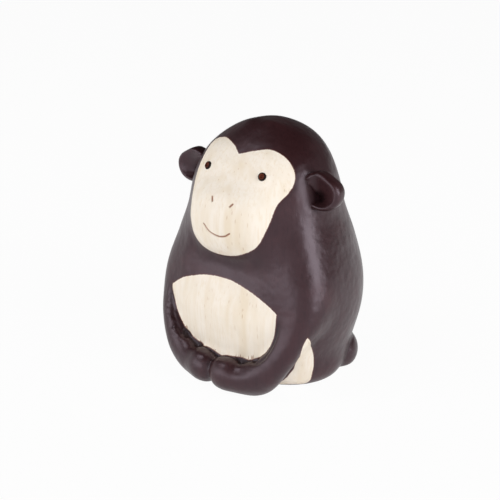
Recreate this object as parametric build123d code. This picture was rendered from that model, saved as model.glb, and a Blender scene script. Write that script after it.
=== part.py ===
from build123d import *

import os
from math import copysign, cos, hypot, radians, sin

# Seated monkey, hand carved from one block of light wood, with the ears dowelled on and the eyes pegged in.
#
# Frame: +Z up, the face looks along -Y and the monkey's own left is +X.
# The origin is the middle of the flat foot that the figure stands on. Millimetres throughout.

# Block: a stack of egg-shaped slices. Each has its rise above the slice below, its half width across the
# body, and its reach from the upright axis to the front and to the back.
FOOT_HALF_WIDTH = 18.9
FOOT_FRONT = 13.2
FOOT_BACK = 17.4

HIP_RISE = 6.0
HIP_HALF_WIDTH = 21.0
HIP_FRONT = 17.2
HIP_BACK = 20.0

BELLY_RISE = 11.0
BELLY_HALF_WIDTH = 23.0
BELLY_FRONT = 18.2
BELLY_BACK = 24.3

CHEST_RISE = 10.0
CHEST_HALF_WIDTH = 22.0
CHEST_FRONT = 15.5
CHEST_BACK = 23.2

NECK_RISE = 9.0
NECK_HALF_WIDTH = 19.2
NECK_FRONT = 13.6
NECK_BACK = 20.4

TEMPLE_RISE = 9.0
TEMPLE_HALF_WIDTH = 17.2
TEMPLE_FRONT = 14.2
TEMPLE_BACK = 17.0

BROW_RISE = 7.0
BROW_HALF_WIDTH = 14.4
BROW_FRONT = 11.6
BROW_BACK = 14.8

FOREHEAD_RISE = 4.5
FOREHEAD_HALF_WIDTH = 10.6
FOREHEAD_FRONT = 7.6
FOREHEAD_BACK = 11.6

CROWN_RISE = 2.5
CROWN_HALF_WIDTH = 6.0
CROWN_FRONT = 4.3
CROWN_BACK = 7.2

CAP_RISE = 1.0

# Exponent of the front of a slice: 2 is a plain ellipse, and more gives fuller corners.
FOOT_EXPONENT = 2.0
BELLY_EXPONENT = 2.4
CHEST_EXPONENT = 3.6
NECK_EXPONENT = 4.0
FACE_EXPONENT = 2.9
CROWN_EXPONENT = 2.2

# Points on the smooth outline of each slice, front and back included.
SLICE_POINTS = 12

# Muzzle: the broad jaw that swells out of the face, centred a little above the neck slice. Its own slices
# lie at these shares of its half height, and the exponent rounds it from top to bottom, as in the slices.
MUZZLE_RISE = 3.0
MUZZLE_SETBACK = 5.6
MUZZLE_HALF_WIDTH = 13.9
MUZZLE_FRONT = 12.2
MUZZLE_BACK = 6.0
MUZZLE_HALF_HEIGHT = 10.4
MUZZLE_SHARES = (-0.92, -0.6, 0.0, 0.6, 0.92)
MUZZLE_EXPONENT = 2.7
MUZZLE_BLEND = 3.5

# Arms: a tapering limb laid round the front of the block. Each station has a level, an angle from the front
# round to the side, how far its centre lies under the block's skin, and its own radius.
NAPE_LEVEL = 37.0
NAPE_ANGLE = 80.0
NAPE_SINK = 6.8
NAPE_RADIUS = 5.0

SHOULDER_LEVEL = 31.0
SHOULDER_ANGLE = 66.0
SHOULDER_SINK = 7.9
SHOULDER_RADIUS = 7.2

BICEP_LEVEL = 20.5
BICEP_ANGLE = 57.0
BICEP_SINK = 3.65
BICEP_RADIUS = 6.4

ELBOW_LEVEL = 14.0
ELBOW_ANGLE = 45.0
ELBOW_SINK = -0.2
ELBOW_RADIUS = 4.1

WRIST_LEVEL = 6.5
WRIST_ANGLE = 33.0
WRIST_SINK = -1.8
WRIST_RADIUS = 4.3

# The hand is a round fist that closes the end of the arm. Each presses past the middle into the other, and
# its centre lies in front of the belly by its own sink.
HAND_LEVEL = 4.3
HAND_SINK = -2.7
HAND_RADIUS = 4.55
HAND_PRESS = 1.0
KNUCKLE_RADIUS = 4.35

# Rump: a rounded cushion at each rear corner, under the back.
RUMP_LEVEL = 3.2
RUMP_ANGLE = 122.0
RUMP_SINK = 2.4
RUMP_RADIUS = 5.7

# Ears: a thick round cup that faces forward, trimmed to the side of the head.
EAR_RISE = 2.1
EAR_FORWARD = 4.0
EAR_STANDOFF = 2.2
EAR_ANGLE = 4.0
EAR_RADIUS = 4.6
EAR_THICKNESS = 4.8
EAR_RIM = 1.5
EAR_HOLLOW_RADIUS = 3.0
EAR_HOLLOW_DEPTH = 1.6
EAR_HOLLOW_SHIFT = 0.9

# Ear dowels: a bamboo pin, glued half in the ear behind its hollow and half in the head.
DOWEL_DIAMETER = 1.6
DOWEL_BEHIND = 0.9
DOWEL_IN_EAR = 3.2
DOWEL_IN_HEAD = 4.0
DOWEL_GAP = 0.05
DOWEL_END_GAP = 0.15

# Eye pegs: a dark pin driven square to the face, with a softened end that stands just proud.
EYE_HALF_SPAN = 7.7
EYE_DROP = 1.7
EYE_DIAMETER = 1.9
EYE_LENGTH = 3.6
EYE_PROUD = 0.25
EYE_ROUND = 0.5
EYE_GAP = 0.03
EYE_END_GAP = 0.1

HIP_LEVEL = HIP_RISE
BELLY_LEVEL = HIP_LEVEL + BELLY_RISE
CHEST_LEVEL = BELLY_LEVEL + CHEST_RISE
NECK_LEVEL = CHEST_LEVEL + NECK_RISE
TEMPLE_LEVEL = NECK_LEVEL + TEMPLE_RISE
BROW_LEVEL = TEMPLE_LEVEL + BROW_RISE
FOREHEAD_LEVEL = BROW_LEVEL + FOREHEAD_RISE
CROWN_LEVEL = FOREHEAD_LEVEL + CROWN_RISE
HEIGHT = CROWN_LEVEL + CAP_RISE

SLICES = [
    (0.0, FOOT_HALF_WIDTH, FOOT_FRONT, FOOT_BACK, FOOT_EXPONENT),
    (HIP_LEVEL, HIP_HALF_WIDTH, HIP_FRONT, HIP_BACK, FOOT_EXPONENT),
    (BELLY_LEVEL, BELLY_HALF_WIDTH, BELLY_FRONT, BELLY_BACK, BELLY_EXPONENT),
    (CHEST_LEVEL, CHEST_HALF_WIDTH, CHEST_FRONT, CHEST_BACK, CHEST_EXPONENT),
    (NECK_LEVEL, NECK_HALF_WIDTH, NECK_FRONT, NECK_BACK, NECK_EXPONENT),
    (TEMPLE_LEVEL, TEMPLE_HALF_WIDTH, TEMPLE_FRONT, TEMPLE_BACK, FACE_EXPONENT),
    (BROW_LEVEL, BROW_HALF_WIDTH, BROW_FRONT, BROW_BACK, FACE_EXPONENT),
    (FOREHEAD_LEVEL, FOREHEAD_HALF_WIDTH, FOREHEAD_FRONT, FOREHEAD_BACK, CROWN_EXPONENT),
    (CROWN_LEVEL, CROWN_HALF_WIDTH, CROWN_FRONT, CROWN_BACK, CROWN_EXPONENT),
]

ARM_STATIONS = [
    (NAPE_LEVEL, NAPE_ANGLE, NAPE_SINK, NAPE_RADIUS),
    (SHOULDER_LEVEL, SHOULDER_ANGLE, SHOULDER_SINK, SHOULDER_RADIUS),
    (BICEP_LEVEL, BICEP_ANGLE, BICEP_SINK, BICEP_RADIUS),
    (ELBOW_LEVEL, ELBOW_ANGLE, ELBOW_SINK, ELBOW_RADIUS),
    (WRIST_LEVEL, WRIST_ANGLE, WRIST_SINK, WRIST_RADIUS),
]


def slice_at(level, half_width, front, back, exponent):
    # an egg: a half ellipse at the back, and at the front one with fuller corners
    points = []
    for index in range(SLICE_POINTS):
        turn = radians(180 + 360 * index / SLICE_POINTS)
        across, along = sin(turn), cos(turn)
        depth, power = (front, 2 / exponent) if along > 0 else (back, 1)
        x = copysign(half_width * abs(across) ** power, across)
        points.append((x, copysign(depth * abs(along) ** power, -along)))
    return Plane.XY.offset(level) * make_face(Spline(points, periodic=True))


def reach_at(level):
    # half width, front, back and exponent of the block between two slices
    for below, above in zip(SLICES, SLICES[1:]):
        if level <= above[0]:
            share = (level - below[0]) / (above[0] - below[0])
            return [low + (high - low) * share for low, high in zip(below[1:], above[1:])]
    return SLICES[-1][1:]


def under_skin(level, angle, sink):
    # a point that lies sink under the block's skin, at an angle from the front towards the left side
    half_width, front, back, exponent = reach_at(level)
    across, along = sin(radians(angle)), cos(radians(angle))
    depth, power = (front, 2 / exponent) if along > 0 else (back, 1)
    x_share = across ** power
    y_share = copysign(abs(along) ** power, -along)
    normal_x = x_share ** (2 / power - 1) / half_width
    normal_y = copysign(abs(y_share) ** (2 / power - 1), y_share) / depth
    length = hypot(normal_x, normal_y)
    x = half_width * x_share - sink * normal_x / length
    y = depth * y_share - sink * normal_y / length
    return (x, y, level)


def make_block():
    crown_point = Vertex(0, (CROWN_BACK - CROWN_FRONT) / 2, HEIGHT)
    return loft([*(slice_at(*values) for values in SLICES), crown_point])


def make_muzzle():
    slices = []
    for share in MUZZLE_SHARES:
        size = (1 - abs(share) ** MUZZLE_EXPONENT) ** (1 / MUZZLE_EXPONENT)
        across, front, back = MUZZLE_HALF_WIDTH * size, MUZZLE_FRONT * size, MUZZLE_BACK * size
        slices.append(slice_at(MUZZLE_HALF_HEIGHT * share, across, front, back, FACE_EXPONENT))
    chin, bridge = Vertex(0, 0, -MUZZLE_HALF_HEIGHT), Vertex(0, 0, MUZZLE_HALF_HEIGHT)
    return Pos(0, -MUZZLE_SETBACK, NECK_LEVEL + MUZZLE_RISE) * loft([chin, *slices, bridge])


def make_head_and_trunk():
    block, muzzle = make_block(), make_muzzle()
    joined = block + muzzle
    return fillet(new_edges(block, muzzle, combined=joined), MUZZLE_BLEND)


def hand_point():
    # the fists meet in front of the middle of the belly
    belly_front = reach_at(HAND_LEVEL)[1]
    return (HAND_RADIUS - HAND_PRESS, HAND_SINK - belly_front, HAND_LEVEL)


def make_arm():
    points = [under_skin(level, angle, sink) for level, angle, sink, radius in ARM_STATIONS]
    points.append(hand_point())
    radii = [station[-1] for station in ARM_STATIONS]
    radii.append(KNUCKLE_RADIUS)
    path = Spline(points)
    sections = []
    for point, radius in zip(points, radii):
        along = path % path.param_at_point(point)
        sections.append(Plane(origin=point, z_dir=along) * Circle(radius))
    return loft(sections)


def make_hand():
    return Pos(*hand_point()) * Sphere(HAND_RADIUS)


def make_rump():
    return Pos(*under_skin(RUMP_LEVEL, RUMP_ANGLE, RUMP_SINK)) * Sphere(RUMP_RADIUS)


def ear_plane():
    # on the left ear: x points away from the head, y up, and z the way the ear faces
    skin_x = under_skin(TEMPLE_LEVEL + EAR_RISE, 90, 0)[0]
    turn = radians(EAR_ANGLE)
    centre = (skin_x + EAR_STANDOFF, -EAR_FORWARD, TEMPLE_LEVEL + EAR_RISE)
    return Plane(origin=centre, x_dir=(cos(turn), sin(turn), 0), z_dir=(sin(turn), -cos(turn), 0))


def make_ear_cup():
    disc = Cylinder(EAR_RADIUS, EAR_THICKNESS)
    disc = fillet(disc.edges().filter_by(GeomType.CIRCLE), EAR_RIM)
    ball_radius = (EAR_HOLLOW_RADIUS ** 2 + EAR_HOLLOW_DEPTH ** 2) / (2 * EAR_HOLLOW_DEPTH)
    ball_height = EAR_THICKNESS / 2 - EAR_HOLLOW_DEPTH + ball_radius
    return disc - Pos(-EAR_HOLLOW_SHIFT, 0, ball_height) * Sphere(ball_radius)


def dowel_rod(gap, end_gap):
    # from inside the head to inside the ear, along the ear's own x
    length = DOWEL_IN_HEAD + DOWEL_IN_EAR + 2 * end_gap
    start = -EAR_STANDOFF - DOWEL_IN_HEAD - end_gap
    rod = Cylinder(DOWEL_DIAMETER / 2 + gap, length, align=(Align.CENTER, Align.CENTER, Align.MIN))
    return ear_plane() * (Pos(start, 0, -DOWEL_BEHIND) * Rot(0, 90, 0) * rod)


def eye_plane(head):
    # on the left eye: z points straight out of the face, from the skin
    sight = Axis((EYE_HALF_SPAN, -HEIGHT, BROW_LEVEL - EYE_DROP), (0, 1, 0))
    point, normal = head.find_intersection_points(sight)[0]
    return Plane(origin=point, z_dir=normal)


def eye_pin(radius, start, end):
    pin = Cylinder(radius, end - start, align=(Align.CENTER, Align.CENTER, Align.MIN))
    return Pos(0, 0, start) * pin


def make_eye_peg():
    peg = eye_pin(EYE_DIAMETER / 2, EYE_PROUD - EYE_LENGTH, EYE_PROUD)
    tip = peg.edges().filter_by(GeomType.CIRCLE).sort_by(Axis.Z)[-1]
    return fillet(tip, EYE_ROUND)


def make_eye_socket():
    return eye_pin(EYE_DIAMETER / 2 + EYE_GAP, EYE_PROUD - EYE_LENGTH - EYE_END_GAP, EYE_LENGTH)


head = make_head_and_trunk()
eye_place = eye_plane(head)
dowel_hole = dowel_rod(DOWEL_GAP, DOWEL_END_GAP)
eye_socket = eye_place * make_eye_socket()

# Body: the limbs are carved from the same block, the foot is cut flat, and the holes are drilled last.
body = head
for limb in (make_arm(), make_hand(), make_rump()):
    body += limb
    body += mirror(limb, Plane.YZ)
body = split(body, Plane.XY, keep=Keep.TOP)
for hole in (dowel_hole, eye_socket):
    body -= hole
    body -= mirror(hole, Plane.YZ)

left_pieces = {
    "ear": ear_plane() * make_ear_cup() - head - dowel_hole,
    "ear_dowel": dowel_rod(0, 0),
    "eye_peg": eye_place * make_eye_peg(),
}

pieces = {"body_block": body}
for name, piece in left_pieces.items():
    pieces[f"{name}_left"] = piece
    pieces[f"{name}_right"] = mirror(piece, Plane.YZ)

os.makedirs("parts", exist_ok=True)
for name, piece in pieces.items():
    export_step(piece, f"parts/{name}.step")
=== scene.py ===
import math

import bmesh
import bpy
import numpy as np
from mathutils import Matrix, Vector, noise
from mathutils.bvhtree import BVHTree
from mathutils.kdtree import KDTree


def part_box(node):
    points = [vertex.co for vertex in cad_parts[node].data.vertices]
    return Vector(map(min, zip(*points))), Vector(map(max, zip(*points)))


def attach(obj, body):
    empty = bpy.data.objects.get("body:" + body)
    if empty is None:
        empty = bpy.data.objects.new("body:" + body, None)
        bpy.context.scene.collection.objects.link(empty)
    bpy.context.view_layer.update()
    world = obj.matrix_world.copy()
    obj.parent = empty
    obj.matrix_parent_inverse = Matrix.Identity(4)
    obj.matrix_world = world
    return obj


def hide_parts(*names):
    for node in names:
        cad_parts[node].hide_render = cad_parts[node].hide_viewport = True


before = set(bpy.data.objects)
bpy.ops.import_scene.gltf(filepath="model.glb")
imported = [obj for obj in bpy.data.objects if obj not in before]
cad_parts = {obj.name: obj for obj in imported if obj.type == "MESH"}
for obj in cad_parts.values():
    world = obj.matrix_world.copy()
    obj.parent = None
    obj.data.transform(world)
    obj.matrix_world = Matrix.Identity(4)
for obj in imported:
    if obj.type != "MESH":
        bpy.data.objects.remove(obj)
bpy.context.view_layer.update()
perMetre = 1000  # pieces are shaped in millimetres and handed over in metres
print("frame loaded:", ", ".join(sorted(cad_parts)))


# Helpers for meshes

def nodeCopy(node):
    # a merged copy of a CAD node's loose triangles, in millimetres
    bm = bmesh.new()
    bm.from_mesh(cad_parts[node].data)
    bmesh.ops.scale(bm, vec=(perMetre,) * 3, verts=bm.verts)
    bmesh.ops.remove_doubles(bm, verts=bm.verts, dist=0.001)
    return bm


def startPiece(name, bm):
    mesh = bpy.data.meshes.new(name)
    bm.to_mesh(mesh)
    bm.free()
    piece = bpy.data.objects.new(name, mesh)
    bpy.context.scene.collection.objects.link(piece)
    return piece


def bakeModifiers(piece):
    evaluated = piece.evaluated_get(bpy.context.evaluated_depsgraph_get())
    piece.data = bpy.data.meshes.new_from_object(evaluated)
    piece.modifiers.clear()


def remeshPiece(piece, voxel, smoothing):
    remesh = piece.modifiers.new("evenQuads", "REMESH")
    remesh.mode = "VOXEL"
    remesh.voxel_size = voxel
    sanding = piece.modifiers.new("sanding", "SMOOTH")
    sanding.factor = 0.5
    sanding.iterations = smoothing
    bakeModifiers(piece)


def sandPiece(piece, weights, repeats):
    # smooths only where the weights are, as sandpaper on one spot
    group = piece.vertex_groups.new(name="sanding")
    for index in np.flatnonzero(weights > 0.01):
        group.add([int(index)], float(weights[index]), "REPLACE")
    sanding = piece.modifiers.new("sanding", "SMOOTH")
    sanding.vertex_group = "sanding"
    sanding.factor = 0.5
    sanding.iterations = repeats
    bakeModifiers(piece)
    piece.vertex_groups.clear()


def readVectors(mesh, field):
    values = np.empty(len(mesh.vertices) * 3, np.float32)
    mesh.vertices.foreach_get(field, values)
    return values.reshape(-1, 3).astype(float)


def writePoints(mesh, points):
    mesh.vertices.foreach_set("co", points.astype(np.float32).ravel())
    mesh.update()


def writeAttribute(mesh, name, values):
    attribute = mesh.attributes.new(name, "FLOAT", "POINT")
    attribute.data.foreach_set("value", values.astype(np.float32))


def readEdges(mesh):
    pairs = np.empty(len(mesh.edges) * 2, np.int32)
    mesh.edges.foreach_get("vertices", pairs)
    return pairs.reshape(-1, 2).T


def neighbourMean(mesh, values, repeats):
    # blurs one number per vertex along the mesh's edges
    first, second = readEdges(mesh)
    count = len(mesh.vertices)
    degree = np.bincount(first, minlength=count) + np.bincount(second, minlength=count)
    for _ in range(repeats):
        total = np.bincount(first, values[second], count) + np.bincount(second, values[first], count)
        values = total / np.maximum(degree, 1)
    return values


def hollowness(mesh):
    # how far each vertex lies below the middle of its neighbours, in millimetres: positive in a crease
    points, normals = readVectors(mesh, "co"), readVectors(mesh, "normal")
    lift = [neighbourMean(mesh, points[:, axis], 1) - points[:, axis] for axis in range(3)]
    return np.sum(np.stack(lift, axis=1) * normals, axis=1)


def smoothLine(points, perSpan):
    # a Catmull-Rom line through the points
    knots = np.array(points, float)
    knots = np.vstack([2 * knots[0] - knots[1], knots, 2 * knots[-1] - knots[-2]])
    t = np.linspace(0, 1, perSpan, endpoint=False)[:, None]
    spans = []
    for a, b, c, d in zip(knots, knots[1:], knots[2:], knots[3:]):
        square = a - 2.5 * b + 2 * c - d / 2
        cube = 1.5 * (b - c) + (d - a) / 2
        spans.append(b + (c - a) / 2 * t + square * t**2 + cube * t**3)
    return np.vstack([*spans, knots[-2:-1]])


def ramp(values, low, high):
    # 0 below low, 1 above high, eased between
    share = np.clip((values - low) / (high - low), 0, 1)
    return share * share * (3 - 2 * share)


def fade(values, low, high):
    # 1 below low, 0 above high, eased between
    return ramp(-values, -high, -low)


def band(values, start, full, fading, end):
    # 0 outside start and end, 1 from full to fading, eased between
    return ramp(values, start, full) * fade(values, fading, end)


def creaseDepth(mesh, repeats):
    # hollowness of the creases alone, blurred
    return neighbourMean(mesh, np.maximum(hollowness(mesh), 0), repeats)


def layOnFront(mesh, line):
    # drops a line drawn in the front view, x and z, onto the mesh, from well in front of it
    tree = BVHTree.FromPolygons([v.co for v in mesh.vertices], [p.vertices for p in mesh.polygons])
    hits = [tree.ray_cast(Vector((x, -100, z)), Vector((0, 1, 0)))[0] for x, z in line]
    return np.array([hit for hit in hits if hit is not None])


def distanceTo(points, line):
    tree = KDTree(len(line))
    for index, point in enumerate(line):
        tree.insert(point, index)
    tree.balance()
    return np.array([tree.find(point)[2] for point in points])


def edgeDistance(mesh, field):
    # turns any field that is positive inside a patch into millimetres from the patch's edge
    points = readVectors(mesh, "co")
    first, second = readEdges(mesh)
    crossing = (field[first] > 0) != (field[second] > 0)
    first, second = first[crossing], second[crossing]
    share = field[first] / (field[first] - field[second])
    rim = points[first] + (points[second] - points[first]) * share[:, None]
    away = distanceTo(points, rim)
    return np.where(field > 0, away, -away)


def patchField(across, up, outline):
    # millimetres from an outline drawn in a flat view: positive inside, by the even-odd test
    inside = np.zeros(len(across), bool)
    for (x0, z0), (x1, z1) in zip(outline, np.roll(outline, -1, axis=0)):
        if z0 != z1:
            crosses = (up > min(z0, z1)) & (up <= max(z0, z1))
            inside ^= crosses & (across < x0 + (up - z0) / (z1 - z0) * (x1 - x0))
    flat = np.zeros(len(across))
    away = distanceTo(np.stack([across, up, flat], axis=1), np.insert(outline, 2, 0, axis=1))
    return np.where(inside, away, -away)


def standOn(tip, outward):
    # turns and moves a shape from the origin, Z up, to a peg's tip and direction
    return Matrix.Translation(tip) @ outward.to_track_quat("Z", "Y").to_matrix().to_4x4()


def pegAxis(node):
    # tip, outward direction, radius and length of a round peg, from its vertices
    bm = nodeCopy(node)
    points = np.array([vert.co for vert in bm.verts])
    bm.free()
    middle = points.mean(axis=0)
    axis = np.linalg.svd(points - middle)[2][0]
    if axis @ (middle * (1, 1, 0)) < 0:
        axis = -axis
    along = (points - middle) @ axis
    radius = np.linalg.norm(points - middle - along[:, None] * axis, axis=1).max()
    return Vector(middle + axis * along.max()), Vector(axis), radius, np.ptp(along)


def finishPiece(piece, material, slot, *nodes):
    piece.data.transform(Matrix.Scale(1 / perMetre, 4))
    piece.data.materials.clear()
    piece.data.materials.append(material)
    piece.data.shade_smooth()
    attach(piece, "root")
    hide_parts(*nodes)
    piece.data.calc_loop_triangles()
    print(piece.name, "done,", len(piece.data.loop_triangles), "triangles")


# Helpers for materials

def linearColor(code):
    # sRGB hex to the linear colour that a socket takes
    parts = [int(code[index:index + 2], 16) / 255 for index in (1, 3, 5)]
    return (*(part / 12.92 if part <= 0.04045 else ((part + 0.055) / 1.055) ** 2.4 for part in parts), 1)


def perMillimetre(width, depth, height):
    # Mapping scale that makes one unit of a pattern this many millimetres
    return (perMetre / width, perMetre / depth, perMetre / height)


def addNode(tree, kind, settings, inputs):
    # sockets by name or number. Map Range: 0 value, 1 and 2 from, 3 and 4 to. Mix: 0 share, then what is
    # mixed, 2 and 3 for numbers, 6 and 7 for colours.
    node = tree.nodes.new(kind)
    for name, value in settings.items():
        setattr(node, name, value)
    for socket, value in inputs.items():
        if isinstance(value, bpy.types.NodeSocket):
            tree.links.new(value, node.inputs[socket])
        else:
            node.inputs[socket].default_value = value
    return node.outputs


def newMaterial(name):
    material = bpy.data.materials.new(name)
    material.use_nodes = True
    material.node_tree.nodes.clear()
    return material, material.node_tree


# Materials

stain = {
    "deep": "#1E0F10",      # darkest stain, along the grain lines; also the colour of the painted shade in creases
    "usual": "#321B1D",
    "thin": "#402426",      # where it was rubbed back
    "fringe": "#6A3A32",    # the reddish edge where it ran out
    "fringeWidth": 0.32,    # mm
    "fringeShare": 0.8,
    "blotch": 7,            # mm, the uneven rubbing
    "roughness": (0.31, 0.41),
    "facet": 2.4,           # mm across, the sanded-over facets of the carving knife
    "knifeMarks": 0.16,     # mm deep
    "shadeCreaseDepth": 0.02,      # mm of crease that gets the full painted shade
    "shadeBlur": 4,
    "sheen": "#FFF0FF",
    "ior": 1.49,            # wax over stain
}
bareWood = {
    "pale": "#F8EEE0",
    "streak": "#EBDABF",
    "pore": "#C9A985",
    "cut": "#9A6A50",       # stain left in the mouth and nostril cuts
    "wicked": "#A88467",    # stain drawn up the pores
    # mm across, deep and along the grain
    "grainSize": (0.55, 0.55, 11),
    "bandSize": (3.2, 3.2, 45),
    "poreSize": (0.7, 0.7, 5),
    "wickSize": (0.42, 0.42, 4),
    "wickReach": (0.15, 1.8),    # mm that the stain is drawn up between the pores and in them
    "grainRelief": 0.05,         # mm
    "roughness": 0.62,
}


def makeCarvedWood():
    # Albizia, knife carved, sanded and wiped with a dark walnut stain under satin wax. The stain covers all
    # but the face, the belly and the flanks: pale long-grained wood there, even dark satin elsewhere.
    material, tree = newMaterial("albizia_dark_stained")
    here = addNode(tree, "ShaderNodeTexCoord", {}, {})["Object"]

    grainSpace = addNode(tree, "ShaderNodeMapping", {}, {
        "Vector": here, "Scale": perMillimetre(*bareWood["grainSize"])})[0]
    grain = addNode(tree, "ShaderNodeTexNoise", {}, {"Vector": grainSpace, "Scale": 1, "Detail": 3})["Fac"]
    bandSpace = addNode(tree, "ShaderNodeMapping", {}, {
        "Vector": here, "Scale": perMillimetre(*bareWood["bandSize"])})[0]
    growth = addNode(tree, "ShaderNodeTexNoise", {}, {"Vector": bandSpace, "Scale": 1, "Detail": 2})["Fac"]
    poreSpace = addNode(tree, "ShaderNodeMapping", {}, {
        "Vector": here, "Scale": perMillimetre(*bareWood["poreSize"])})[0]
    pore = addNode(tree, "ShaderNodeTexVoronoi", {}, {
        "Vector": poreSpace, "Scale": 1, "Randomness": 1})["Distance"]
    poreMask = addNode(tree, "ShaderNodeMapRange", {}, {0: pore, 1: 0.1, 2: 0.22, 3: 1, 4: 0})[0]

    # bare wood. Noise lies mostly between 0.3 and 0.7, so each Map Range of it picks the peaks.
    streak = addNode(tree, "ShaderNodeMapRange", {}, {0: grain, 1: 0.48, 2: 0.75, 3: 0, 4: 0.55})[0]
    broad = addNode(tree, "ShaderNodeMapRange", {}, {0: growth, 1: 0.45, 2: 0.72, 3: 0, 4: 0.7})[0]
    bothStreaks = addNode(tree, "ShaderNodeMath", {"operation": "MAXIMUM"}, {0: streak, 1: broad})[0]
    bare = addNode(tree, "ShaderNodeMix", {"data_type": "RGBA"}, {
        0: bothStreaks, 6: linearColor(bareWood["pale"]), 7: linearColor(bareWood["streak"])})[2]
    poreShade = addNode(tree, "ShaderNodeMath", {"operation": "MULTIPLY"}, {0: poreMask, 1: broad})[0]
    bare = addNode(tree, "ShaderNodeMix", {"data_type": "RGBA"}, {
        0: poreShade, 6: bare, 7: linearColor(bareWood["pore"])})[2]
    cut = addNode(tree, "ShaderNodeAttribute", {"attribute_name": "cutShade"}, {})["Fac"]
    bare = addNode(tree, "ShaderNodeMix", {"data_type": "RGBA"}, {
        0: cut, 6: bare, 7: linearColor(bareWood["cut"])})[2]

    # stained wood
    blotch = addNode(tree, "ShaderNodeTexNoise", {}, {
        "Vector": here, "Scale": perMetre / stain["blotch"], "Detail": 4})["Fac"]
    rubbed = addNode(tree, "ShaderNodeMapRange", {}, {0: blotch, 1: 0.5, 2: 0.75, 3: 0, 4: 0.8})[0]
    dark = addNode(tree, "ShaderNodeMix", {"data_type": "RGBA"}, {
        0: rubbed, 6: linearColor(stain["usual"]), 7: linearColor(stain["thin"])})[2]
    # painted shade: creases, and the ear's hole, darkened towards the deepest stain colour in place of their
    # shadow
    paintedShade = addNode(tree, "ShaderNodeAttribute", {"attribute_name": "paintedShade"}, {})["Fac"]
    grainDark = addNode(tree, "ShaderNodeMapRange", {}, {0: grain, 1: 0.5, 2: 0.8, 3: 0, 4: 0.5})[0]
    grainAndShade = addNode(tree, "ShaderNodeMath", {"operation": "MAXIMUM"}, {0: paintedShade, 1: grainDark})[0]
    dark = addNode(tree, "ShaderNodeMix", {"data_type": "RGBA"}, {
        0: grainAndShade, 6: dark, 7: linearColor(stain["deep"])})[2]

    # where the stain ends: a painted edge that wanders a hair, drawn up the pores at the belly's lower edge
    edge = addNode(tree, "ShaderNodeAttribute", {"attribute_name": "bareEdge"}, {})["Fac"]
    wick = addNode(tree, "ShaderNodeAttribute", {"attribute_name": "wick"}, {})["Fac"]
    wickSpace = addNode(tree, "ShaderNodeMapping", {}, {
        "Vector": here, "Scale": perMillimetre(*bareWood["wickSize"])})[0]
    tick = addNode(tree, "ShaderNodeTexNoise", {}, {"Vector": wickSpace, "Scale": 1, "Detail": 1})["Fac"]
    run = addNode(tree, "ShaderNodeMapRange", {}, {
        0: tick, 1: 0.6, 2: 0.78, 3: bareWood["wickReach"][0], 4: bareWood["wickReach"][1]})[0]
    reach = addNode(tree, "ShaderNodeMath", {"operation": "DIVIDE"}, {0: edge, 1: run})[0]
    stroke = addNode(tree, "ShaderNodeMapRange", {"interpolation_type": "SMOOTHSTEP"}, {
        0: reach, 1: 0.3, 2: 1, 3: 0.75, 4: 0})[0]
    stroke = addNode(tree, "ShaderNodeMath", {"operation": "MULTIPLY"}, {0: stroke, 1: wick})[0]
    bare = addNode(tree, "ShaderNodeMix", {"data_type": "RGBA"}, {
        0: stroke, 6: bare, 7: linearColor(bareWood["wicked"])})[2]
    wobble = addNode(tree, "ShaderNodeMapRange", {}, {0: grain, 1: 0.3, 2: 0.7, 3: 0.04, 4: -0.04})[0]
    edge = addNode(tree, "ShaderNodeMath", {"operation": "ADD"}, {0: edge, 1: wobble})[0]
    bareShare = addNode(tree, "ShaderNodeMapRange", {"interpolation_type": "SMOOTHSTEP"}, {
        0: edge, 1: -0.05, 2: 0.07, 3: 0, 4: 1})[0]
    fringe = addNode(tree, "ShaderNodeMapRange", {"interpolation_type": "SMOOTHSTEP"}, {
        0: edge, 1: -stain["fringeWidth"], 2: 0, 3: 0, 4: stain["fringeShare"]})[0]
    dark = addNode(tree, "ShaderNodeMix", {"data_type": "RGBA"}, {
        0: fringe, 6: dark, 7: linearColor(stain["fringe"])})[2]
    color = addNode(tree, "ShaderNodeMix", {"data_type": "RGBA"}, {0: bareShare, 6: dark, 7: bare})[2]

    satin = addNode(tree, "ShaderNodeMapRange", {}, {
        0: blotch, 1: 0.3, 2: 0.7, 3: stain["roughness"][0], 4: stain["roughness"][1]})[0]
    roughness = addNode(tree, "ShaderNodeMix", {}, {0: bareShare, 2: satin, 3: bareWood["roughness"]})[0]
    relief = addNode(tree, "ShaderNodeMath", {"operation": "SUBTRACT"}, {0: grain, 1: poreMask})[0]
    fine = addNode(tree, "ShaderNodeBump", {}, {
        "Height": relief, "Strength": 0.25, "Distance": bareWood["grainRelief"] / perMetre})[0]
    knife = addNode(tree, "ShaderNodeTexNoise", {}, {
        "Vector": here, "Scale": perMetre / stain["facet"], "Detail": 1})["Fac"]
    bump = addNode(tree, "ShaderNodeBump", {}, {
        "Height": knife, "Strength": 1, "Distance": stain["knifeMarks"] / perMetre, "Normal": fine})[0]
    surface = addNode(tree, "ShaderNodeBsdfPrincipled", {}, {
        "Base Color": color, "Roughness": roughness, "Normal": bump, "IOR": stain["ior"],
        "Specular Tint": linearColor(stain["sheen"])})[0]
    addNode(tree, "ShaderNodeOutputMaterial", {}, {"Surface": surface})
    return material


endGrain = {
    "middle": "#8A4028",
    "speck": "#5E2A1B",
    "rim": "#1C0F0C",
    "rimStart": (0.35, 0.8),    # share of the radius where the stain starts and is full
    "speckSize": 0.25,          # mm
    "relief": 0.04,             # mm
    "roughness": 0.75,
    "shine": 0.15,
}


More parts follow.
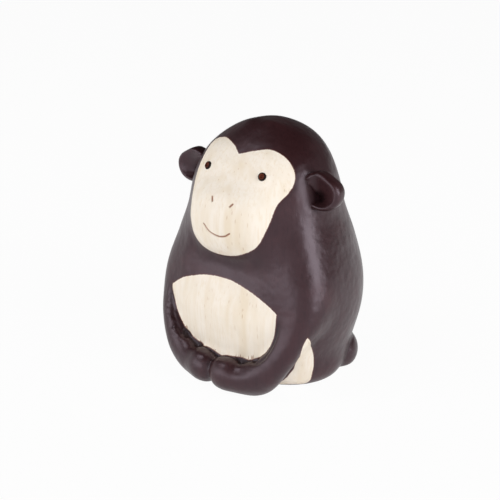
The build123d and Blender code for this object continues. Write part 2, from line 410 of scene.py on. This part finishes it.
def makePegWood():
    # A hardwood dowel cut across: dark stained end grain, browner in the middle, where it was rubbed.
    material, tree = newMaterial("hardwood_peg_end_grain")
    here = addNode(tree, "ShaderNodeTexCoord", {}, {})["Object"]
    speck = addNode(tree, "ShaderNodeTexNoise", {}, {
        "Vector": here, "Scale": perMetre / endGrain["speckSize"], "Detail": 2})["Fac"]
    rim = addNode(tree, "ShaderNodeAttribute", {"attribute_name": "rimShare"}, {})["Fac"]
    shade = addNode(tree, "ShaderNodeMapRange", {"interpolation_type": "SMOOTHSTEP"}, {
        0: rim, 1: endGrain["rimStart"][0], 2: endGrain["rimStart"][1], 3: 0, 4: 1})[0]
    middle = addNode(tree, "ShaderNodeMix", {"data_type": "RGBA"}, {
        0: speck, 6: linearColor(endGrain["middle"]), 7: linearColor(endGrain["speck"])})[2]
    color = addNode(tree, "ShaderNodeMix", {"data_type": "RGBA"}, {
        0: shade, 6: middle, 7: linearColor(endGrain["rim"])})[2]
    bump = addNode(tree, "ShaderNodeBump", {}, {
        "Height": speck, "Strength": 0.3, "Distance": endGrain["relief"] / perMetre})[0]
    surface = addNode(tree, "ShaderNodeBsdfPrincipled", {}, {
        "Base Color": color, "Roughness": endGrain["roughness"], "Normal": bump,
        "Specular IOR Level": endGrain["shine"]})[0]
    addNode(tree, "ShaderNodeOutputMaterial", {}, {"Surface": surface})
    return material


bambooPin = {
    "straw": "#E3CB98",
    "fibre": "#B4915A",
    "fibreSize": (6, 0.2, 0.2),    # mm, long along the pin
    "relief": 0.03,                # mm
    "roughness": 0.55,
}


def makeBamboo():
    # Split bamboo, rounded by a draw plate: straw coloured, with fine fibre lines along the pin.
    material, tree = newMaterial("bamboo_split")
    here = addNode(tree, "ShaderNodeTexCoord", {}, {})["Object"]
    fibreSpace = addNode(tree, "ShaderNodeMapping", {}, {
        "Vector": here, "Scale": perMillimetre(*bambooPin["fibreSize"])})[0]
    fibre = addNode(tree, "ShaderNodeTexNoise", {}, {"Vector": fibreSpace, "Scale": 1, "Detail": 2})["Fac"]
    color = addNode(tree, "ShaderNodeMix", {"data_type": "RGBA"}, {
        0: fibre, 6: linearColor(bambooPin["straw"]), 7: linearColor(bambooPin["fibre"])})[2]
    bump = addNode(tree, "ShaderNodeBump", {}, {
        "Height": fibre, "Strength": 0.3, "Distance": bambooPin["relief"] / perMetre})[0]
    surface = addNode(tree, "ShaderNodeBsdfPrincipled", {}, {
        "Base Color": color, "Roughness": bambooPin["roughness"], "Normal": bump, "IOR": 1.5})[0]
    addNode(tree, "ShaderNodeOutputMaterial", {}, {"Surface": surface})
    return material


carvedWood = makeCarvedWood()
pegWood = makePegWood()
bamboo = makeBamboo()
print("materials made")


# Body

body = {
    "voxel": 0.38,         # mm, the mesh's even quads
    "smoothing": (4, 2),   # passes after the first and the second remesh
    "plugSides": 24,
    "plugWiden": 1.15,     # eye sockets are closed a little wider than they are
    "plugDeeper": 1.0,     # mm
    "pegProud": 0.25,      # mm that a peg's end stands out of the skin
    # arm: x, y, z of its middle line on the left side, and its radius, from the shoulder to the fist
    "armLine": [
        (12.1, -4.8, 37.0, 5.0),
        (12.5, -6.0, 31.0, 7.2),
        (17.1, -9.0, 20.5, 6.4),
        (16.7, -13.4, 14.0, 4.1),
        (12.4, -16.1, 6.5, 4.3),
        (3.55, -18.8, 4.3, 4.45),
    ],
    "armSteps": 14,
    "groove": (0.55, 0.5),           # depth and half width of the cut that sets a forearm off from the belly
    "grooveUp": (8.2, 9.5, 16.0, 20.5),    # levels where it starts, is full, fades and ends
    "grooveSanding": (0.01, 0.1),    # mm of cut where the sanding starts and is full
    "flats": (1.3, 0.22),            # size and depth of the chisel's flats beside the groove
    "flatsStart": (0.5, 0.9),        # mm outside the belly's edge
    "flatsReach": (1.4, 2.8),        # how far they run onto the left and the right forearm
    "flatsFade": 0.6,                # share of the reach where they start to run out
    "flatsLeast": 0.02,              # share too faint to cut
    "groovePasses": 3,
}
# Where the sandpaper went. Four numbers are the start, full, fade and end of a stretch. Two are its start and
# full, or its fade and end. They are mm up, forward or to the side, unless said.
sandpaper = {
    "creaseBlur": 50,
    "crease": 0.004,                 # mm of hollow that counts as a full crease
    "armReach": (2.5, 5.0),          # from the arm's skin
    "shoulderBlend": (13.0, 20.0),   # the arm is crisp below and melts into the trunk above
    "shoulder": (24, 28, 34, 38),
    "shoulderShare": 0.5,
    "bridge": (39, 43, 52, 55),      # between the muzzle and the brow
    "bridgeFront": (5, 8),
    "bridgeShare": 0.8,
    "leafEdge": (-1.5, 0),           # under the forearm, from the edge of the bare leaf inwards
    "leafSide": (10, 13),
    "leafUp": (2, 5),
    "limbPasses": 300,
    "ridge": (12, 27, 40, 46),       # the upper arm and the shoulder blade
    "ridgeTurn": (30, 42, 125, 150),  # degrees round from straight ahead
    "ridgePasses": 800,
    "swell": 0.5,                    # mm given back to the upper arm after it is sanded round
    "swellFade": (33, 41),
    "fistFront": (18.4, 19.6),
    "fistSide": (1.5, 3, 13, 15),
    "fistTop": (8.5, 10),
    "fistPasses": 60,
}
fist = {
    "skin": 0.5,                     # mm above the arm's skin that still count as the fist
    "ahead": (0.05, 0.45),           # mm in front of the belly where the cuts start and are full
    "up": (4, 6),
    "side": (9, 12.5),               # where the cuts fade towards the wrist
    "toBelly": (0.0, 0.7, 0.71),     # from a fist's middle to where it meets the belly
    "turn": (-0.1, -0.95),           # cosines to that way where the drawing in starts and is full
    "drop": 0.9,                     # mm that the fists are drawn in there
    "groove": (0.5, 0.5),            # depth and half width
    "notch": (10.3, 1.3, 2.6, 1.4),  # chisel cut over the wrist: side, half width, reach forward and depth
}
face = {
    # the heart-shaped bare face in the front view, x and z, from its notch round by the monkey's left
    "heart": [
        (-0.1, 53.7), (3.6, 54.75), (7.2, 55.2), (11.0, 53.6), (13.4, 50.6), (13.6, 47.6), (12.0, 44.6),
        (11.2, 40.2), (9.2, 35.5), (4.0, 32.5), (-1.5, 31.3), (-5.7, 31.9), (-8.7, 34.2), (-9.5, 38.5),
        (-11.5, 45.4), (-11.3, 50.5), (-10.5, 54.4), (-6.6, 55.95), (-2.6, 55.2), (-0.1, 53.7),
    ],
    "heartSteps": 40,
    # knife cuts: line in the front view, half width and depth
    "cuts": [
        ([(-4.3, 38.6), (-2.6, 37.1), (-0.2, 36.5), (1.8, 36.9), (3.2, 37.8)], 0.17, 0.3),  # mouth
        ([(-2.7, 44.9), (-2.35, 44.1)], 0.2, 0.3),    # nostrils
        ([(3.3, 44.35), (2.75, 43.75)], 0.2, 0.3),
    ],
    "cutSteps": 24,
    "fineReach": (1.1, 0.8),   # mm round the cuts, each time that the quads are halved there
    "cutShade": 1.2,
}
belly = {
    # level, half width and reach of the belly's front, and its fullness
    "slices": [(6.0, 21.0, 17.2), (17.0, 23.0, 18.2)],
    "fullness": 2.8,
    # the bare belly in the front view, x and z, from its top by the monkey's left; doubled points are corners
    "outline": [
        (-2.7, 25.9), (2.5, 25.9), (7.8, 24.8), (12.4, 22.9), (14.9, 21.2), (14.9, 21.2), (14.8, 18.2),
        (14.3, 14.7), (13.0, 11.7), (11.0, 9.8), (8.0, 8.3), (4.5, 8.2), (1.8, 7.6), (-0.5, 6.4),
        (-2.8, 7.4), (-5.2, 8.0), (-7.8, 8.3), (-10.2, 9.5), (-12.4, 11.5), (-14.2, 13.7), (-15.4, 16.3),
        (-16.2, 18.6), (-16.4, 20.2), (-16.4, 20.2), (-12.2, 23.1), (-6.5, 25.2), (-2.7, 25.9),
    ],
    "steps": 24,
    "front": -9.0,             # y, nothing behind it is belly
    "carveEdge": (-0.3, 0.4),  # mm inside the outline where the cut starts and is full
    "carveUp": (8.7, 9.7, 16.0, 21.0),    # levels where it starts, is full, fades and ends
    "lip": 0.6,                # mm in front of the belly's round that still are bare
    "sandEdge": (0.1, 0.8),    # mm inside the outline where the sanding starts and is full
    "sandAhead": (0.6, 0.9),   # mm in front of the belly's round where it fades and ends
    "sandPasses": 80,
    # where the stain was drawn up the pores
    "wickUp": (11, 16),
    "wickFront": (10, 14),
    "wickSide": (13, 15),
}
flank = {
    # the bare leaf behind each forearm in the side view, y and z, from its tip down the front and up the back
    "leaf": [
        (-13.2, 16.6), (-13.9, 14.4), (-13.6, 12.2), (-11.6, 9.0), (-10.9, 6.3), (-11.3, 4.3), (-11.7, 1.0),
        (-9.0, 0.9), (-6.9, 0.9), (-6.9, 3.8), (-7.0, 6.2), (-7.6, 8.8), (-8.8, 11.4), (-10.9, 14.0),
        (-13.2, 16.6),
    ],
    "steps": 30,
    "side": 12,                # mm out from the middle, where the leaf starts
}


def foldLeft(points):
    # the right half mirrored onto the left
    folded = points.copy()
    folded[:, 0] = np.abs(folded[:, 0])
    return folded


def armSkin(points):
    # mm from the skin of the nearer arm, and the vector from the arm's middle line, on the left side
    folded = foldLeft(points)
    away = np.full(len(points), np.inf)
    spoke = np.zeros_like(points)
    for x, y, z, radius in smoothLine(body["armLine"], body["armSteps"]):
        offset = folded - (x, y, z)
        distance = np.linalg.norm(offset, axis=1) - radius
        nearer = distance < away
        away[nearer] = distance[nearer]
        spoke[nearer] = offset[nearer]
    return away, spoke


def inFrontOfBelly(points):
    # millimetres in front of the belly's own round
    low, high = np.array(belly["slices"])
    share = ((points[:, 2] - low[0]) / (high[0] - low[0]))[:, None]
    halfWidth, reach = (low[1:] + (high[1:] - low[1:]) * share).T
    across = np.clip(np.abs(points[:, 0]) / halfWidth, 0, 1)
    return -points[:, 1] - reach * (1 - across ** belly["fullness"]) ** (1 / belly["fullness"])


def bellyField(points):
    return patchField(points[:, 0], points[:, 2], smoothLine(belly["outline"], belly["steps"]))


def leafField(points):
    return patchField(points[:, 1], points[:, 2], smoothLine(flank["leaf"], flank["steps"]))


def grooveDepth(distance, depth, halfWidth):
    # a round cut that starts at an edge
    return depth * np.exp(-(((distance - halfWidth) / halfWidth) ** 2))


def blendLimbs(piece):
    # sands the arms into the shoulders, the muzzle into the brow and the fists into the wrists
    points = readVectors(piece.data, "co")
    x, y, z = foldLeft(points).T
    nearArm = fade(armSkin(points)[0], *sandpaper["armReach"])
    crease = np.clip(creaseDepth(piece.data, sandpaper["creaseBlur"]) / sandpaper["crease"], 0, 1)
    upperArm = ramp(z, *sandpaper["shoulderBlend"]) * nearArm * crease
    shoulder = band(z, *sandpaper["shoulder"]) * nearArm * sandpaper["shoulderShare"]
    bridge = band(z, *sandpaper["bridge"]) * ramp(-y, *sandpaper["bridgeFront"]) * sandpaper["bridgeShare"]
    underArm = ramp(leafField(points), *sandpaper["leafEdge"])
    underArm *= ramp(x, *sandpaper["leafSide"]) * ramp(z, *sandpaper["leafUp"])
    sandPiece(piece, np.max([upperArm, shoulder, bridge, underArm], axis=0), sandpaper["limbPasses"])

    turn = np.degrees(np.arctan2(x, -y))
    ridge = band(z, *sandpaper["ridge"]) * band(turn, *sandpaper["ridgeTurn"])
    sandPiece(piece, ridge, sandpaper["ridgePasses"])
    mesh = piece.data
    swell = sandpaper["swell"] * ridge * fade(z, *sandpaper["swellFade"])
    writePoints(mesh, readVectors(mesh, "co") + readVectors(mesh, "normal") * swell[:, None])

    onFist = ramp(-y, *sandpaper["fistFront"]) * band(x, *sandpaper["fistSide"])
    onFist *= fade(z, *sandpaper["fistTop"])
    sandPiece(piece, onFist, sandpaper["fistPasses"])


def carveBelly(mesh):
    # cuts the forearms back to the belly's full round, inside the bare outline
    points = readVectors(mesh, "co")
    inside = ramp(bellyField(points), *belly["carveEdge"]) * band(points[:, 2], *belly["carveUp"])
    inside *= points[:, 1] < belly["front"]
    points[:, 1] += inside * inFrontOfBelly(points)
    writePoints(mesh, points)


def carveFists(mesh):
    # draws the fists in where they face the belly, with a groove and a notch over the wrist
    points = readVectors(mesh, "co")
    x, _, z = foldLeft(points).T
    away, spoke = armSkin(points)
    inward = -spoke / np.maximum(np.linalg.norm(spoke, axis=1), 0.1)[:, None]
    ahead = inFrontOfBelly(points)
    onFist = ramp(ahead, *fist["ahead"]) * (away < fist["skin"]) * ramp(z, *fist["up"])
    side, halfWidth, reach, depth = fist["notch"]
    notch = np.clip(1 - np.abs(x - side) / halfWidth - ahead / reach, 0, 1) * depth
    drawnIn = fist["drop"] * ramp(inward @ fist["toBelly"], *fist["turn"])
    groove = grooveDepth(ahead, *fist["groove"])
    cut = onFist * (notch + fade(x, *fist["side"]) * (drawnIn + groove))
    inward[:, 0] *= np.where(points[:, 0] < 0, -1, 1)
    writePoints(mesh, points + inward * cut[:, None])


def carveGrooves(piece):
    # a narrow chisel groove where each forearm meets the belly, with the chisel's flats beside it
    mesh = piece.data
    points, normals = readVectors(mesh, "co"), readVectors(mesh, "normal")
    x, y, z = points.T
    outside = -bellyField(points)
    forearm = band(z, *body["grooveUp"]) * (y < belly["front"])
    cut = forearm * grooveDepth(outside, *body["groove"])
    size, depth = body["flats"]
    reach = np.where(x > 0, *body["flatsReach"])
    flats = forearm * band(outside, *body["flatsStart"], body["flatsFade"] * reach, reach)
    for index in np.flatnonzero(flats > body["flatsLeast"]):
        cut[index] += depth * flats[index] * noise.cell(Vector(points[index]) / size)
    writePoints(mesh, points - normals * cut[:, None])
    sandPiece(piece, ramp(cut, *body["grooveSanding"]), body["groovePasses"])
    onBelly = ramp(-outside, *belly["sandEdge"]) * fade(inFrontOfBelly(points), *belly["sandAhead"])
    sandPiece(piece, onBelly * (y < belly["front"]), belly["sandPasses"])


def carveFace(piece):
    # halves the quads near the mouth and the nostrils, then cuts these in
    bm = bmesh.new()
    bm.from_mesh(piece.data)
    lines = [layOnFront(piece.data, smoothLine(line, face["cutSteps"])) for line, _, _ in face["cuts"]]
    guide = np.vstack(lines)
    for reach in face["fineReach"]:
        near = distanceTo([vert.co for vert in bm.verts], guide) < reach
        edges = [edge for edge in bm.edges if near[edge.verts[0].index] and near[edge.verts[1].index]]
        bmesh.ops.subdivide_edges(bm, edges=edges, cuts=1, use_grid_fill=True)
        bm.verts.index_update()
        bm.verts.ensure_lookup_table()
    bm.normal_update()
    points = np.array([vert.co for vert in bm.verts])
    normals = np.array([vert.normal for vert in bm.verts])
    shade = np.zeros(len(points))
    for line, (_, width, depth) in zip(lines, face["cuts"]):
        profile = np.exp(-(distanceTo(points, line) / width) ** 2)
        points = points - normals * (depth * profile)[:, None]
        shade = np.maximum(shade, profile)
    for vert, point in zip(bm.verts, points):
        vert.co = point
    bm.to_mesh(piece.data)
    bm.free()
    writeAttribute(piece.data, "cutShade", np.clip(shade * face["cutShade"], 0, 1))


def paintBody(mesh):
    # tells the wood where it is bare, where stain was drawn up the pores, and where creases get painted shade
    points = readVectors(mesh, "co")
    x, y, z = points.T
    onFace = np.minimum(patchField(x, z, smoothLine(face["heart"], face["heartSteps"])), -y)
    onBelly = np.min([bellyField(points), belly["lip"] - inFrontOfBelly(points), belly["front"] - y], axis=0)
    onFlank = np.minimum(leafField(points), np.abs(x) - flank["side"])
    bare = np.max([onFace, onBelly, onFlank], axis=0)
    wick = fade(z, *belly["wickUp"]) * ramp(-y, *belly["wickFront"]) * fade(np.abs(x), *belly["wickSide"])
    writeAttribute(mesh, "bareEdge", edgeDistance(mesh, bare))
    writeAttribute(mesh, "wick", wick)
    # painted shade: darker the deeper the crease
    writeAttribute(mesh, "paintedShade", np.clip(creaseDepth(mesh, stain["shadeBlur"]) / stain["shadeCreaseDepth"], 0, 1))


def makeBody():
    bm = nodeCopy("body_block")
    for node in ("eye_peg_left", "eye_peg_right"):
        tip, outward, radius, length = pegAxis(node)
        depth = length + body["plugDeeper"]
        width = radius * body["plugWiden"]
        middle = tip - outward * (body["pegProud"] + depth / 2)
        bmesh.ops.create_cone(bm, cap_ends=True, segments=body["plugSides"], radius1=width, radius2=width,
                              depth=depth, matrix=standOn(middle, outward))
    piece = startPiece("carved_body", bm)
    remeshPiece(piece, body["voxel"], body["smoothing"][0])
    blendLimbs(piece)
    carveBelly(piece.data)
    carveFists(piece.data)
    remeshPiece(piece, body["voxel"], body["smoothing"][1])
    carveGrooves(piece)
    print("limbs carved,", len(piece.data.vertices), "vertices")
    carveFace(piece)
    paintBody(piece.data)
    finishPiece(piece, carvedWood, "stained_wood", "body_block")


makeBody()


# Ears

ear = {
    "voxel": 0.2,
    "smoothing": (4, 7),
    "hollowRadius": 3.7,
    "hollowRise": 0.4,         # mm that the hollow's middle lies above the ear's
    "facing": (0.05, 0.4),     # turn of the surface to the front where the hollow starts and is full
    "rimFront": 2.0,           # mm in front of the ear's middle, where the hollow starts
    "hole": (-1.6, -2.9),      # the deepest spot from the hollow's middle, away from the head and up
    "holeDepth": 3.0,
    "holeSteep": 1.3,          # above 1 the slope gets steeper towards the hole
    "holeShade": (0.0, 0.9),   # mm in front of the ear's middle: full painted shade below, none above
    "holeShadeFacing": (0.0, 0.3),
    "topDrop": 0.22,           # share that the top edge drops, away from the head
    "topDropOut": (-1.5, 2.5),
    "topDropUp": (-0.5, 1.5),
    "bottomRise": 0.1,         # share that the lower edge is drawn in
    "backTaper": 0.1,
    "taperBack": (0.2, 2.4),   # mm behind the ear's middle
    "sunk": 0.7,               # mm that the side against the head is let into it, so that no gap shows
    "sunkFacing": (0.3, 0.7),
    "fromBare": -5.0,          # mm, all of the ear is stained
}

earLow, earHigh = (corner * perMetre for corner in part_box("ear_left"))
earRadius = (earHigh.z - earLow.z) / 2
earMiddle = Vector((earHigh.x - earRadius, (earLow.y + earHigh.y) / 2, (earLow.z + earHigh.z) / 2))


def earPlace(mesh, side):
    # each vertex seen from the ear's middle: away from the head, forward and up
    points = readVectors(mesh, "co")
    return points[:, 0] * side - earMiddle.x, earMiddle.y - points[:, 1], points[:, 2] - earMiddle.z


def sculptEar(mesh, side):
    out, front, up = earPlace(mesh, side)
    normals = readVectors(mesh, "normal")

    # share of the way from the hole to the rim, in the direction of each vertex
    fromHole = np.stack([out, up - ear["hollowRise"]], axis=1) - ear["hole"]
    length = np.maximum(np.linalg.norm(fromHole, axis=1), 0.01)
    lean = fromHole @ ear["hole"] / length
    toRim = np.sqrt(lean**2 + ear["hollowRadius"] ** 2 - np.dot(ear["hole"], ear["hole"])) - lean
    share = np.clip(length / toRim, 0, 1)
    hollow = ear["rimFront"] - ear["holeDepth"] * (1 - share) ** ear["holeSteep"]
    facing = ramp(-normals[:, 1], *ear["facing"]) * (share < 1)
    front = front + facing * (hollow - front)

    up = up * (1 - ear["topDrop"] * ramp(out, *ear["topDropOut"]) * ramp(up, *ear["topDropUp"]))
    up = up * (1 - ear["bottomRise"] * ramp(-up, 0, earRadius))
    taper = 1 - ear["backTaper"] * ramp(-front, *ear["taperBack"])
    sunk = ear["sunk"] * ramp(-normals[:, 0] * side, *ear["sunkFacing"]) * (out < 0)
    out = np.where(out > 0, out * taper, out) - sunk
    points = [(out + earMiddle.x) * side, earMiddle.y - front, up * taper + earMiddle.z]
    writePoints(mesh, np.stack(points, axis=1))


def makeEars():
    for name, side in (("left", 1), ("right", -1)):
        piece = startPiece("carved_ear_" + name, nodeCopy("ear_" + name))
        remeshPiece(piece, ear["voxel"], ear["smoothing"][0])
        sculptEar(piece.data, side)
        remeshPiece(piece, ear["voxel"], ear["smoothing"][1])
        mesh = piece.data
        forward = -readVectors(mesh, "normal")[:, 1]
        # painted shade in the ear's hole: its deep, forward-facing part darkened in place of its shadow
        hole = fade(earPlace(mesh, side)[1], *ear["holeShade"]) * ramp(forward, *ear["holeShadeFacing"])
        paintedShade = np.maximum(creaseDepth(mesh, stain["shadeBlur"]) / stain["shadeCreaseDepth"], hole)
        writeAttribute(mesh, "paintedShade", np.clip(paintedShade, 0, 1))
        writeAttribute(mesh, "bareEdge", np.full(len(mesh.vertices), ear["fromBare"]))
        writeAttribute(mesh, "wick", np.zeros(len(mesh.vertices)))
        writeAttribute(mesh, "cutShade", np.zeros(len(mesh.vertices)))
        finishPiece(piece, carvedWood, "stained_wood", "ear_" + name)


makeEars()


# Eyes and ear pins

eye = {
    "sides": 48,
    "rounding": 0.45,     # mm, the rubbed edge of the peg's end
    "roundSteps": 6,
    "endInset": 0.25,     # share of the radius
}


def makeEyes():
    for side in ("left", "right"):
        tip, outward, radius, length = pegAxis("eye_peg_" + side)
        bm = bmesh.new()
        bmesh.ops.create_cone(bm, cap_ends=True, segments=eye["sides"], radius1=radius, radius2=radius,
                              depth=length)
        top = [edge for edge in bm.edges if all(vert.co.z > 0 for vert in edge.verts)]
        bmesh.ops.bevel(bm, geom=top, offset=eye["rounding"], offset_type="OFFSET",
                        segments=eye["roundSteps"], profile=0.5, affect="EDGES", material=-1)
        end = [flat for flat in bm.faces if flat.normal.z > 0.99]
        bmesh.ops.inset_region(bm, faces=end, thickness=radius * eye["endInset"])
        bmesh.ops.translate(bm, verts=bm.verts, vec=(0, 0, -length / 2))
        rims = np.array([math.hypot(vert.co.x, vert.co.y) / radius for vert in bm.verts])
        bmesh.ops.transform(bm, verts=bm.verts, matrix=standOn(tip, outward))
        piece = startPiece("eye_peg_end_" + side, bm)
        writeAttribute(piece.data, "rimShare", rims)
        finishPiece(piece, pegWood, "eye_wood", "eye_peg_" + side)


makeEyes()
for side in ("left", "right"):
    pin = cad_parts["ear_dowel_" + side]
    pin.data.materials.clear()
    pin.data.materials.append(bamboo)
print("ear pins finished in bamboo")


# Studio

studio = {
    "azimuth": 38.5,       # degrees from straight ahead of the monkey towards its left
    "elevation": 21.0,
    "distance": 195.0,     # mm
    "target": (-3.13, -2.49, 28.0),
    "lens": 58.39,         # mm
    "sensor": 36,          # mm
    "floorHalf": 3.0,      # metres
    "floorPaint": "#F8F8F8",
    "floorGlow": 0.96,     # share of the floor's white that the camera sees without light
    "brightWall": -15,     # azimuth of the room's brightest wall
    "wallTurn": 0.6,       # how far round, as a cosine, the walls go from bright to dim
    "wallLevels": (0.15, 0.95),
    "ceiling": (0.25, 0.65),    # sines of the elevations where the walls start to dim and the ceiling starts
    "ceilingLevel": 0.04,
}
lamps = [
    # name, azimuth, elevation, distance in metres, width and height in metres, watts
    ("front wall", -14, 8, 0.8, 0.95, 0.4, 2.8),
    ("side strip", 95, 12, 0.6, 0.33, 0.5, 3.0),
    ("softbox", -32, 52, 0.8, 0.32, 0.32, 1.5),
]


def around(azimuth, elevation):
    a, e = math.radians(azimuth), math.radians(elevation)
    return Vector((math.sin(a) * math.cos(e), -math.cos(a) * math.cos(e), math.sin(e)))


def makeCamera():
    data = bpy.data.cameras.new("photo camera")
    data.lens = studio["lens"]
    data.sensor_width = studio["sensor"]
    data.clip_start = 0.01
    camera = bpy.data.objects.new("photo camera", data)
    bpy.context.scene.collection.objects.link(camera)
    back = around(studio["azimuth"], studio["elevation"])
    camera.location = (Vector(studio["target"]) + back * studio["distance"]) / perMetre
    camera.rotation_euler = back.to_track_quat("Z", "Y").to_euler()
    bpy.context.scene.camera = camera


def makeLamps():
    middle = Vector(studio["target"]) / perMetre
    for name, azimuth, elevation, distance, width, height, watts in lamps:
        data = bpy.data.lights.new(name, "AREA")
        data.shape = "RECTANGLE"
        data.size = width
        data.size_y = height
        data.energy = watts
        lamp = bpy.data.objects.new(name, data)
        bpy.context.scene.collection.objects.link(lamp)
        lamp.location = middle + around(azimuth, elevation) * distance
        lamp.rotation_euler = around(azimuth, elevation).to_track_quat("Z", "Y").to_euler()


def makeFloor():
    # Painted board: matt white, seen evenly white, with the figure's shadow left on it.
    material, tree = newMaterial("painted_white_board")
    path = addNode(tree, "ShaderNodeLightPath", {}, {})
    seen = addNode(tree, "ShaderNodeMath", {"operation": "MAXIMUM"}, {
        0: path["Is Camera Ray"], 1: path["Is Glossy Ray"]})[0]
    seen = addNode(tree, "ShaderNodeMath", {"operation": "MAXIMUM"}, {
        0: seen, 1: path["Is Transmission Ray"]})[0]
    share = addNode(tree, "ShaderNodeMath", {"operation": "MULTIPLY"}, {0: seen, 1: studio["floorGlow"]})[0]
    paint = addNode(tree, "ShaderNodeBsdfDiffuse", {}, {"Color": linearColor(studio["floorPaint"])})[0]
    glow = addNode(tree, "ShaderNodeEmission", {}, {"Color": linearColor("#FFFFFF"), "Strength": 1})[0]
    surface = addNode(tree, "ShaderNodeMixShader", {}, {0: share, 1: paint, 2: glow})[0]
    addNode(tree, "ShaderNodeOutputMaterial", {}, {"Surface": surface})
    bm = bmesh.new()
    bmesh.ops.create_grid(bm, x_segments=1, y_segments=1, size=studio["floorHalf"])
    floor = startPiece("floor", bm)
    floor.data.materials.append(material)


def makeWorld():
    # white seen by the camera; for light, bright walls and a dim ceiling
    world = bpy.data.worlds.new("studio")
    world.use_nodes = True
    tree = world.node_tree
    tree.nodes.clear()
    path = addNode(tree, "ShaderNodeLightPath", {}, {})
    direction = addNode(tree, "ShaderNodeTexCoord", {}, {})["Generated"]
    axes = addNode(tree, "ShaderNodeSeparateXYZ", {}, {"Vector": direction})
    facing = addNode(tree, "ShaderNodeVectorMath", {"operation": "DOT_PRODUCT"}, {
        0: direction, 1: around(studio["brightWall"], 0)})["Value"]
    dim, bright = studio["wallLevels"]
    low, high = studio["ceiling"]
    wall = addNode(tree, "ShaderNodeMapRange", {"interpolation_type": "SMOOTHSTEP"}, {
        0: facing, 1: -studio["wallTurn"], 2: studio["wallTurn"], 3: dim, 4: bright})[0]
    height = addNode(tree, "ShaderNodeMapRange", {"interpolation_type": "SMOOTHSTEP"}, {
        0: axes["Z"], 1: low, 2: high, 3: 1, 4: studio["ceilingLevel"]})[0]
    level = addNode(tree, "ShaderNodeMath", {"operation": "MULTIPLY"}, {0: wall, 1: height})[0]
    walls = addNode(tree, "ShaderNodeBackground", {}, {
        "Color": linearColor("#FFFFFF"), "Strength": level})[0]
    white = addNode(tree, "ShaderNodeBackground", {}, {"Color": linearColor("#FFFFFF"), "Strength": 1})[0]
    surface = addNode(tree, "ShaderNodeMixShader", {}, {0: path["Is Camera Ray"], 1: walls, 2: white})[0]
    addNode(tree, "ShaderNodeOutputWorld", {}, {"Surface": surface})
    bpy.context.scene.world = world


makeCamera()
makeLamps()
makeFloor()
makeWorld()
bpy.context.scene.view_settings.view_transform = "Standard"
print("studio lit")
